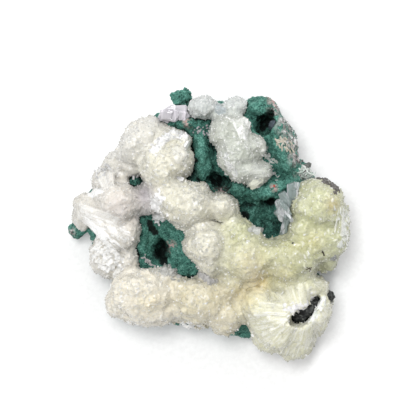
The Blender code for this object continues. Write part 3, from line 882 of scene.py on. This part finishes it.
def alongLine(points, share):
    points = np.array(points)
    steps = np.linspace(0, 1, len(points))
    return np.stack([np.interp(share, steps, points[:, i]) for i in range(2)], axis=1)


# How far a fibre's root strays, how far its ground may jump from ring to ring and what it falls instead, in
# millimetres; how far its tip strays along its line and how much it may skip at its root are shares.
sheaf = {
    "rootStray": 0.25, "tipStray": 0.02, "jump": 5.0, "fall": 1.0, "skip": 0.25, "overlap": 0.6,
    "lift": (-0.25, 0.3), "widths": (0.6, 1.5), "depth": 0.8, "noGround": 0.02,
}


def makeBundle(surface, settings, seed):
    chance = np.random.default_rng(seed)
    count, spread = settings["count"], sheaf["overlap"]
    share = np.clip((np.arange(count) + chance.uniform(-spread, spread, count)) / (count - 1), 0, 1)
    roots = alongLine(settings["roots"], share) + chance.normal(0, sheaf["rootStray"], (count, 2))
    tips = alongLine(settings["tips"], np.clip(share + chance.normal(0, sheaf["tipStray"], count), 0, 1))
    reach = 1 - settings["short"] * chance.random(count)
    skip = sheaf["skip"] * chance.random(count)
    steps = np.linspace(0, 1, fibreRings)
    paths = np.empty((count, fibreRings, 3))
    for i in range(count):
        height = None
        for k, step in enumerate(steps):
            part = skip[i] + (reach[i] - skip[i]) * step
            spot = roots[i] + (tips[i] - roots[i]) * part
            hit = surface.ray_cast(Vector((spot[0] * mm, spot[1] * mm, 0.2)), Vector((0, 0, -1)))[0]
            if hit is not None and (height is None or abs(hit.z - height) < sheaf["jump"] * mm):
                height = hit.z
            elif height is not None:
                height -= sheaf["fall"] * mm
            else:
                height = sheaf["noGround"]
            paths[i, k] = (spot[0] * mm, spot[1] * mm, height)
    rise = settings["bow"] * (np.sin(np.pi * steps) * 0.6 + 0.15) * mm
    paths[:, :, 2] += rise[None, :] + chance.uniform(*sheaf["lift"], (count, 1)) * mm
    along = paths[:, -1] - paths[:, 0]
    across = np.cross(along, (0, 0, 1))
    across /= np.linalg.norm(across, axis=1)[:, None] + 1e-9
    upward = np.cross(across, along)
    upward /= np.linalg.norm(upward, axis=1)[:, None] + 1e-9
    width = (settings["width"] * chance.uniform(*sheaf["widths"], count) * mm)[:, None]
    silk = np.clip(chance.uniform(*settings["silk"], count), 0, 1)
    return placeFibres("fibres", fibre, paths, across * width, upward * (sheaf["depth"] * width), silk)


# Small crystals, chips and specks: the line of points that they lie along and how far they stray from it,
# the least and most width, depth and length, in millimetres, how upright they stand from 0 to 1, and the
# way that they point and how far it swings, in degrees. What is crisp isn't melted into its cluster's skin.
speck = {"shape": grain, "stand": 0.5, "way": (0, 90)}
dust = {**speck, "size": ((0.3, 0.7), (0.3, 0.6), (0.3, 0.6))}
redSpeck = {**speck, "stray": 0.15, "count": 3, "size": ((0.3, 0.4), (0.3, 0.4), (0.3, 0.4)),
            "tint": (0.40, 0.06, 0.03), "silk": (0.0, 0.0)}
needle = {"shape": blade, "stand": 0.0, "silk": (0.0, 0.0), "crisp": True}
fringe = {"shape": blade, "stray": 0.8, "stand": 0.3, "way": (270, 40),
          "tint": (0.72, 0.72, 0.71), "silk": (0.0, 1.0)}
chips = {
    "stilbite_centre": (
        {"shape": blade, "line": ((-22.0, 28.0), (-19.6, 31.6), (-16.0, 35.2), (-11.6, 36.2), (-8.4, 34.6)),
         "stray": 0.7, "count": 130, "size": ((0.5, 1.2), (0.3, 0.6), (1.0, 2.0)), "stand": 0.4,
         "way": (130, 50), "tint": (0.70, 0.70, 0.70), "silk": (-0.3, 1.0)},
        {"shape": block, "line": ((-9.2, 32.4), (-8.8, 31.2)), "stray": 0.2, "count": 3,
         "size": ((1.2, 1.5), (1.0, 1.3), (2.4, 3.0)), "stand": 0.15, "way": (75, 12),
         "tint": (0.85, 0.85, 0.87), "silk": (1.0, 1.0), "crisp": True},
        {"shape": block, "line": ((-11.8, 18.6), (-10.4, 18.2)), "stray": 0.3, "count": 3,
         "size": ((1.4, 1.9), (0.8, 1.0), (2.6, 3.4)), "stand": 0.2, "way": (-25, 14),
         "tint": (0.56, 0.56, 0.56), "silk": (0.0, 0.4), "crisp": True},
        {"shape": blade, "line": ((-19.4, 11.2), (-21.0, 7.6), (-19.2, 2.4)), "stray": 1.1, "count": 170,
         "size": ((0.5, 1.1), (0.4, 0.6), (0.8, 1.4)), "stand": 0.35, "way": (215, 45),
         "tint": (0.80, 0.79, 0.81), "silk": (0.4, 1.0)},
        {"shape": block, "line": ((-30.6, 20.8), (-28.6, 19.4)), "stray": 0.6, "count": 12,
         "size": ((0.7, 1.2), (0.5, 0.8), (1.0, 2.0)), "stand": 0.3, "way": (60, 60),
         "tint": (0.66, 0.64, 0.66), "silk": (-0.2, 1.0), "crisp": True},
    ),
    "stilbite_left": (
        {"shape": blade, "line": ((-47.4, 11.6), (-45.0, 12.8), (-42.4, 13.2)), "stray": 0.5, "count": 90,
         "size": ((0.7, 1.3), (0.4, 0.6), (1.0, 1.8)), "stand": 0.1, "way": (20, 30),
         "tint": (0.74, 0.74, 0.74), "silk": (0.2, 1.0)},
        {"shape": blade, "line": ((-46.0, -8.6), (-41.0, -13.0), (-36.0, -18.6)), "stray": 2.2,
         "count": 210, "size": ((0.5, 1.0), (0.3, 0.6), (0.9, 1.6)), "stand": 0.5, "way": (250, 60),
         "tint": (0.74, 0.73, 0.70), "silk": (-0.2, 1.0)},
        {"shape": block, "line": ((-48.0, 20.6), (-39.4, 21.4)), "stray": 1.4, "count": 26,
         "size": ((0.7, 1.3), (0.5, 0.9), (1.2, 2.4)), "stand": 0.5, "way": (120, 50),
         "tint": (0.46, 0.46, 0.46), "silk": (-0.4, 0.5), "crisp": True},
    ),
    "stilbite_lower_left": (
        {"shape": blade, "line": ((-18.8, -18.2), (-13.2, -20.6)), "stray": 0.9, "count": 36,
         "size": ((0.9, 1.6), (0.25, 0.4), (1.6, 2.6)), "stand": 0.4, "way": (35, 30),
         "tint": (0.47, 0.47, 0.44), "silk": (-0.3, 0.3)},
        {**fringe, "line": ((-33.0, -39.2), (-28.0, -41.0)), "count": 30,
         "size": ((0.5, 0.9), (0.3, 0.5), (0.8, 1.5))},
    ),
    "stilbite_lower_middle": (
        {**fringe, "line": ((-11.0, -40.2), (-5.6, -41.0), (-1.2, -42.2)), "count": 70,
         "size": ((0.5, 1.0), (0.3, 0.5), (0.9, 1.8))},
        {"shape": block, "line": ((-2.6, -20.6), (2.2, -22.8)), "stray": 0.9, "count": 16,
         "size": ((1.2, 2.0), (0.8, 1.2), (1.6, 2.6)), "stand": 0.5, "way": (90, 40),
         "tint": (0.45, 0.44, 0.43), "silk": (-0.3, 0.2)},
    ),
    "stilbite_right": (
        {"shape": grain, "line": ((44.6, 18.6), (48.6, 16.8), (51.8, 13.2)), "stray": 0.8, "count": 90,
         "size": ((0.6, 1.2), (0.5, 0.9), (0.6, 1.2)), "stand": 0.5, "way": (60, 90),
         "tint": (0.11, 0.10, 0.09), "silk": (-0.6, 0.1)},
        {"shape": blade, "line": ((53.8, 7.0), (54.2, 0.0), (54.6, -8.6)), "stray": 1.3, "count": 150,
         "size": ((0.3, 0.8), (0.25, 0.5), (1.0, 2.4)), "stand": 0.3, "way": (265, 24),
         "tint": (0.68, 0.70, 0.64), "silk": (-0.6, 0.9)},
        {"shape": block, "line": ((49.0, -13.0), (51.4, -13.8)), "stray": 0.4, "count": 7,
         "size": ((0.9, 1.6), (0.6, 1.0), (1.6, 2.4)), "stand": 0.3, "way": (300, 20),
         "tint": (0.30, 0.31, 0.30), "silk": (-0.4, 0.1)},
        {"shape": block, "line": ((15.4, -2.0), (20.6, -3.6)), "stray": 0.5, "count": 12,
         "size": ((1.2, 2.2), (0.5, 0.8), (1.8, 3.0)), "stand": 0.35, "way": (60, 24),
         "tint": (0.44, 0.45, 0.42), "silk": (-0.4, 0.3), "crisp": True},
        {**needle, "line": ((33.2, -7.6), (34.0, -7.2)), "stray": 0.2, "count": 3,
         "size": ((0.3, 0.4), (0.3, 0.4), (0.5, 0.8)), "way": (80, 40), "tint": (0.05, 0.05, 0.03)},
        {**needle, "line": ((44.8, -9.4), (45.6, -11.6)), "stray": 0.12, "count": 4,
         "size": ((0.3, 0.4), (0.3, 0.4), (1.2, 1.8)), "way": (110, 14), "tint": (0.05, 0.04, 0.03)},
        {**needle, "line": ((38.6, -16.2), (40.4, -18.6)), "stray": 0.4, "count": 7,
         "size": ((0.25, 0.35), (0.25, 0.35), (0.6, 1.3)), "way": (140, 40), "tint": (0.10, 0.08, 0.05)},
    ),
    "stilbite_fan": (
        {"shape": blade, "line": ((31.0, -33.0), (35.0, -33.4), (38.4, -30.6), (41.0, -27.6)), "stray": 1.0,
         "count": 110, "size": ((0.5, 1.1), (0.3, 0.5), (0.9, 2.0)), "stand": 0.25, "way": (130, 40),
         "tint": (0.70, 0.69, 0.70), "silk": (-0.2, 0.9)},
        {"shape": blade, "line": ((40.4, -38.4), (44.0, -33.4), (46.0, -29.0)), "stray": 0.5, "count": 70,
         "size": ((0.4, 0.8), (0.3, 0.5), (1.2, 2.6)), "stand": 0.2, "way": (265, 18),
         "tint": (0.68, 0.71, 0.66), "silk": (-0.2, 1.0)},
    ),
    "stilbite_ridge": (
        {"shape": blade, "line": ((12.0, 38.8), (13.6, 34.2)), "stray": 0.35, "count": 22,
         "size": ((0.5, 0.9), (0.3, 0.5), (1.2, 2.4)), "stand": 0.2, "way": (290, 12),
         "tint": (0.74, 0.74, 0.74), "silk": (0.2, 1.0)},
        {"shape": blade, "line": ((6.0, 28.0), (10.4, 18.6)), "stray": 0.9, "count": 40,
         "size": ((0.5, 1.0), (0.3, 0.5), (0.9, 1.4)), "stand": 0.15, "way": (220, 50),
         "tint": (0.60, 0.61, 0.60), "silk": (-0.5, 0.8)},
        {"shape": blade, "line": ((18.6, 17.0), (21.8, 19.6)), "stray": 0.3, "count": 4,
         "size": ((1.8, 2.6), (0.4, 0.7), (3.6, 5.0)), "stand": 0.12, "way": (220, 10),
         "tint": (0.56, 0.57, 0.47), "silk": (0.0, 0.2), "crisp": True},
    ),
    "stilbite_top": (
        {"shape": block, "line": ((3.8, 45.8), (6.8, 44.2)), "stray": 0.5, "count": 9,
         "size": ((1.4, 2.2), (0.8, 1.3), (1.8, 2.8)), "stand": 0.4, "way": (80, 24),
         "tint": (0.40, 0.44, 0.45), "silk": (-0.4, 0.1)},
    ),
}
rockChips = (
    {**speck, "line": ((38.2, 27.0), (39.6, 25.4), (40.4, 23.2)), "stray": 0.4, "count": 9,
     "size": ((1.0, 1.6), (1.0, 1.6), (1.0, 1.6)), "tint": (0.10, 0.11, 0.10), "silk": (-0.9, 0.05)},
    {"shape": blade, "line": ((36.8, 21.6), (39.0, 20.8), (42.0, 20.4)), "stray": 1.0, "count": 70,
     "size": ((0.3, 0.6), (0.2, 0.4), (0.9, 2.2)), "stand": 0.45, "way": (90, 110),
     "tint": (0.55, 0.64, 0.58), "silk": (-0.5, 0.9)},
    {"shape": blade, "line": ((28.6, 33.4), (31.0, 31.4), (33.6, 28.6)), "stray": 1.1, "count": 24,
     "size": ((0.4, 0.8), (0.15, 0.3), (1.0, 2.6)), "stand": 0.05, "way": (130, 50),
     "tint": (0.50, 0.46, 0.38), "silk": (-0.9, 0.3)},
    {"shape": blade, "line": ((20.8, 29.6), (23.6, 27.6), (26.0, 24.6)), "stray": 0.9, "count": 18,
     "size": ((0.4, 0.9), (0.2, 0.4), (1.0, 2.2)), "stand": 0.3, "way": (315, 60),
     "tint": (0.52, 0.56, 0.52), "silk": (-0.6, 0.8)},
    {**speck, "line": ((28.0, 48.4), (33.4, 39.6), (36.6, 31.0)), "stray": 1.3, "count": 64,
     "size": ((0.2, 0.7), (0.2, 0.5), (0.2, 0.7)), "tint": (0.62, 0.62, 0.62), "silk": (-0.9, 0.8)},
    {**speck, "line": ((36.0, 37.0), (37.4, 30.0), (38.2, 26.0)), "stray": 0.5, "count": 40,
     "size": ((0.4, 0.9), (0.4, 0.8), (0.3, 0.7)), "tint": (0.06, 0.05, 0.045), "silk": (0.0, 0.0)},
    {**dust, "line": ((4.4, 13.8), (6.6, 11.8), (8.8, 10.4)), "stray": 0.5, "count": 40,
     "tint": (0.44, 0.34, 0.34), "silk": (-0.5, 0.4)},
    {**redSpeck, "line": ((8.4, 10.2), (8.8, 10.0))},
    {**redSpeck, "line": ((25.8, 15.6), (26.2, 15.4))},
    {**speck, "line": ((46.2, 17.6), (50.4, 14.0), (53.2, 8.8)), "stray": 0.8, "count": 90,
     "size": ((0.4, 0.9), (0.4, 0.9), (0.4, 0.8)), "tint": (0.16, 0.145, 0.13), "silk": (-0.9, 0.1)},
    {"shape": blade, "line": ((24.0, 22.8), (27.4, 18.6)), "stray": 0.6, "count": 20,
     "size": ((0.3, 0.5), (0.2, 0.3), (0.7, 1.6)), "stand": 0.1, "way": (50, 50),
     "tint": (0.62, 0.62, 0.60), "silk": (-0.4, 0.9)},
    {**dust, "line": ((-26.0, -13.4), (-22.0, -16.8)), "stray": 0.6, "count": 26,
     "tint": (0.40, 0.38, 0.38), "silk": (-0.6, 0.4)},
    {**dust, "line": ((-6.0, 38.6), (-1.0, 37.2), (3.0, 36.4)), "stray": 1.2, "count": 30,
     "tint": (0.46, 0.44, 0.46), "silk": (-0.8, 0.5)},
)


def dropOnto(trees, spot):  # the highest place under a spot, and the way that it faces
    hits = [tree.ray_cast(Vector((spot[0] * mm, spot[1] * mm, 0.2)), Vector((0, 0, -1))) for tree in trees]
    hits = [(hit, outward) for hit, outward, _, _ in hits if hit is not None and outward.z > 0.1]
    return max(hits, key=lambda found: found[0].z, default=(None, None))


def makeChips(trees, settings, seed):
    chance = np.random.default_rng(seed)
    count, stand = settings["count"], settings["stand"]
    spots = alongLine(settings["line"], chance.random(count))
    spots += chance.normal(0, settings["stray"], (count, 2))
    angle, swing = settings["way"]
    turns = np.radians(angle + chance.normal(0, swing, count))
    sizes = [chance.uniform(*side, count) * mm for side in settings["size"]]
    places, axes = [], []
    for spot, turn, width, depth, length in zip(spots, turns, *sizes):
        hit, outward = dropOnto(trees, spot)
        if hit is None:
            continue
        level = Vector((np.cos(turn), np.sin(turn), 0))
        level = (level - outward * level.dot(outward)).normalized()
        along = (outward * stand + level * (1 - stand)).normalized()
        through = (outward * (1 - stand) - level * stand).normalized()
        places.append(hit + along * (0.35 * length * stand) + through * (0.2 * depth * (1 - stand)))
        axes.append((through.cross(along) * width, through * depth, along * length))
    silk = np.clip(chance.uniform(*settings["silk"], len(places)), 0, 1)
    made = placeCopies("chips", settings["shape"], np.array(places), np.array(axes), silk)
    shade = np.repeat(chance.uniform(0.9, 1.04, len(places)), len(settings["shape"].data.vertices))
    writeTint(made, np.clip(np.outer(shade, settings["tint"]), 0, 1))
    writeLayer(made, "dull", np.ones(len(shade)))
    made.data.shade_flat()
    return made


bits = [makeChips((rockSkin,), settings, seeds["rock"] + step) for step, settings in enumerate(rockChips)]
join(bits[0], bits[1:])
bits[0].name = "rock_crystals"
bits[0].data.materials.append(crystalMaterial)
finished(bits[0], "stilbite")
print("chips on the rock made:", len(bits[0].data.polygons), "faces")


def addDull(obj, node, silk):  # how opaque the crystals are
    dull = shading["silkDull"] * silk.ravel()
    for _, i, near in nearOthers(pointsOf(obj), node, shading["meetReach"] * mm):
        dull[i] = max(dull[i], min(shading["meetDull"] * near, 1.0))
    writeLayer(obj, "dull", dull)


def softRise(body):  # how far up each point faces, averaged over its neighbours
    rise = np.array([vert.normal.z for vert in body.data.vertices])
    first, second = gather(body.data.edges, "vertices", 2, np.int32).T
    for _ in range(8):
        total, count = rise.copy(), np.ones(len(rise))
        for a, b in ((first, second), (second, first)):
            np.add.at(total, a, rise[b])
            np.add.at(count, a, 1)
        rise = total / count
    return rise


def fuse(body, node, extras, voxel):  # the crystals grow into one skin, which keeps their tints
    join(body, extras)
    source = treeOf(body)
    silk = faceLayer(body, "silk", "value", 1)
    tint = faceLayer(body, "tint", "color", 4)
    melt(body, voxel)
    applyModifiers(body)
    nearest = [source.find_nearest(vert.co)[2] for vert in body.data.vertices]
    silk, tint = silk[nearest], tint[nearest]
    writeLayer(body, "silk", silk)
    # painted shade on the steep sides
    tint[:, :3] = paintSideShade(tint[:, :3], softRise(body))
    writeLayer(body, "tint", tint, "FLOAT_COLOR")
    addDull(body, node, silk)
    body.data.shade_smooth()


def makeTips(body, node, look, seed):  # crisp crystals over the skin, in its tints, with their painted side shade
    skin = treeOf(body)
    silk = faceLayer(body, "silk", "value", 1)[:, 0]
    tint = faceLayer(body, "tint", "color", 4)
    look = {**look, **look["tips"]}
    tips = makeBlades(body, node, look, seed, lambda place: silk[skin.find_nearest(place)[2]])
    middles = pointsOf(tips).reshape(-1, bladeSize, 3).mean(axis=1)
    nearest = [skin.find_nearest(Vector(middle))[2] for middle in middles]
    writeLayer(tips, "tint", np.repeat(tint[nearest], bladeSize, axis=0), "FLOAT_COLOR")
    writeLayer(tips, "dull", np.full(len(tips.data.vertices), look["tipDull"]))
    tips.data.shade_flat()
    return tips


def makeCluster(number, node, look):
    body = makeBody(node, look)
    addTints(body, node)
    surface = treeOf(body)
    blades = makeBlades(body, node, look, seeds["blades"] + number)
    addTints(blades, node, len(blades.data.vertices) // bladeSize)
    extras, crisp = [blades], []
    for step, settings in enumerate(bundles.get(node, ())):
        extras.append(makeBundle(surface, settings, seeds["bundles"] + 10 * number + step))
        addTints(extras[-1], node, settings["count"])
    for step, settings in enumerate(chips.get(node, ())):
        made = makeChips((surface, rockSkin), settings, seeds["chips"] + 10 * number + step)
        (crisp if settings.get("crisp") else extras).append(made)
    fuse(body, node, extras, look["skin"])
    crisp.append(makeTips(body, node, look, seeds["tips"] + number))
    join(body, crisp)
    body.data.materials.clear()
    body.data.materials.append(crystalMaterial)
    finished(body, "stilbite", node)
    print(node, "made:", len(body.data.polygons), "faces")


for number, (node, look) in enumerate(clusterLooks.items()):
    makeCluster(number, node, look)


plain = {"tint": (0, 0, 0), "silk": (0, 0)}
clearLooks = {
    "clear_crystals_top": {
        "tint": (0.60, 0.58, 0.62), "streak": (0.90, 0.86, 0.92), "clear": 0.2, "bevel": 0.3,
        "lines": (420.0, 60.0, 60.0), "edge": (0.5, 0.66), "slot": "clear_crystal",
        "chips": (
            {**plain, "shape": block, "line": ((-17.4, 43.6), (-13.4, 43.4), (-9.0, 42.6)), "stray": 0.5,
             "count": 13, "size": ((1.6, 2.6), (1.0, 1.8), (2.6, 4.0)), "stand": 0.35, "way": (85, 14)},
        )},
    "clear_crystals_cavity": {
        "tint": (0.42, 0.50, 0.49), "streak": (0.80, 0.82, 0.84), "clear": 0.5, "bevel": 0.12,
        "lines": (420.0, 110.0, 90.0), "edge": (0.5, 0.64), "slot": "clear_crystal",
        "chips": (
            {**plain, "shape": blade, "line": ((28.2, 9.0), (30.6, 3.0), (31.6, -2.6)), "stray": 0.9,
             "count": 17, "size": ((1.1, 2.3), (0.4, 0.8), (3.0, 5.6)), "stand": 0.25, "way": (296, 9)},
            {**plain, "shape": block, "line": ((34.0, 15.4), (34.6, 11.4)), "stray": 0.5, "count": 6,
             "size": ((1.6, 2.4), (1.0, 1.6), (2.6, 3.6)), "stand": 0.3, "way": (80, 14)},
        )},
    "grey_crystal": {
        "tint": (0.12, 0.15, 0.18), "streak": (0.28, 0.31, 0.34), "clear": 0.4, "bevel": 0.25,
        "lines": (500.0, 120.0, 200.0), "edge": (0.5, 0.7), "slot": "grey_crystal", "chips": ()},
}


def clearMaterial(name, look):
    material, tree, shader, where = newMaterial(name)
    stretch = addNode(tree, "ShaderNodeMapping", Rotation=(0.0, 0.0, 0.9), Scale=look["lines"])
    tree.links.new(where, stretch.inputs["Vector"])
    lines = addNode(tree, "ShaderNodeTexNoise", Scale=1.0, Detail=2.0)
    tree.links.new(stretch.outputs["Vector"], lines.inputs["Vector"])
    streak = rampOf(tree, lines.outputs["Fac"], *look["edge"])
    tree.links.new(mixOf(tree, streak, (*look["tint"], 1), (*look["streak"], 1)), shader.inputs["Base Color"])
    rough = addNode(tree, "ShaderNodeMapRange", To_Min=0.08, To_Max=0.35)
    tree.links.new(streak, rough.inputs["Value"])
    tree.links.new(rough.outputs["Result"], shader.inputs["Roughness"])
    shader.inputs["Transmission Weight"].default_value = look["clear"]
    shader.inputs["IOR"].default_value = 1.5
    bumpFrom(tree, shader, lines.outputs["Fac"], 0.08, 0.5)
    return material


for node, look in clearLooks.items():
    crystal = copyOfNode(node, node + "_cut")
    rim = crystal.modifiers.new("rim", "BEVEL")
    rim.width = look["bevel"] * mm
    rim.segments = 2
    rim.limit_method = "ANGLE"
    rim.angle_limit = 0.6
    applyModifiers(crystal)
    trees = (treeOf(crystal), rockSkin)
    crystal.data.shade_flat()
    join(crystal, [makeChips(trees, settings, seeds["clear"] + step)
                   for step, settings in enumerate(look["chips"])])
    crystal.data.materials.clear()
    crystal.data.materials.append(clearMaterial(node, look))
    finished(crystal, look["slot"], node)
print("clear crystals made")

for template in (blade, fibre, grain, block):
    bpy.data.objects.remove(template, do_unlink=True)


stage = {
    "floorSide": 3.0, "floorTint": (0.93, 0.93, 0.93), "floorPatch": 60.0, "floorGrain": 2.0, "world": 0.55,
    # the eye's place, the width that it covers and the height at which it covers it, in millimetres
    "eye": (-0.2, 6.6, 1025.0), "covered": 166.4, "aimHeight": 25.0, "sensor": 36.0,
    # name, place in metres, side in metres, watts
    "lamps": (("overhead", (-0.2, 0.25, 1.3), 0.5, 8.5), ("back", (0.35, 0.9, 0.8), 0.25, 6.0),
              ("side", (-0.9, -0.2, 0.7), 0.4, 3.5)),
}


def floorMaterial(look):
    material, tree, shader, where = newMaterial("floor")
    tint, grainValue = patchesIn(tree, where, look["floorTint"], look["floorPatch"], look["floorGrain"])
    tree.links.new(tint, shader.inputs["Base Color"])
    shader.inputs["Roughness"].default_value = 0.9
    bumpFrom(tree, shader, grainValue, 0.02, 0.2)
    return material


def makeStage(look):
    bpy.ops.object.select_all(action="DESELECT")
    bpy.ops.mesh.primitive_plane_add(size=look["floorSide"], location=(0, 0, 0))
    floor = bpy.context.object
    floor.name = "floor"
    floor.data.materials.append(floorMaterial(look))
    for name, place, side, watts in look["lamps"]:
        lamp = bpy.data.objects.new(name, bpy.data.lights.new(name, "AREA"))
        lamp.data.shape = "DISK"
        lamp.data.size = side
        lamp.data.energy = watts
        lamp.location = place
        lamp.rotation_euler = Vector(place).to_track_quat("Z", "Y").to_euler()
        bpy.context.collection.objects.link(lamp)
    world = bpy.data.worlds.new("studio")
    world.use_nodes = True
    world.node_tree.nodes["Background"].inputs["Color"].default_value = (1, 1, 1, 1)
    world.node_tree.nodes["Background"].inputs["Strength"].default_value = look["world"]
    bpy.context.scene.world = world
    bpy.context.scene.view_settings.view_transform = "Standard"
    eye = bpy.data.objects.new("eye", bpy.data.cameras.new("eye"))
    eye.location = Vector(look["eye"]) * mm
    eye.data.sensor_width = look["sensor"]
    eye.data.lens = look["sensor"] * (look["eye"][2] - look["aimHeight"]) / look["covered"]
    eye.data.clip_start = 0.05
    bpy.context.collection.objects.link(eye)
    bpy.context.scene.camera = eye


makeStage(stage)
print("stage made")
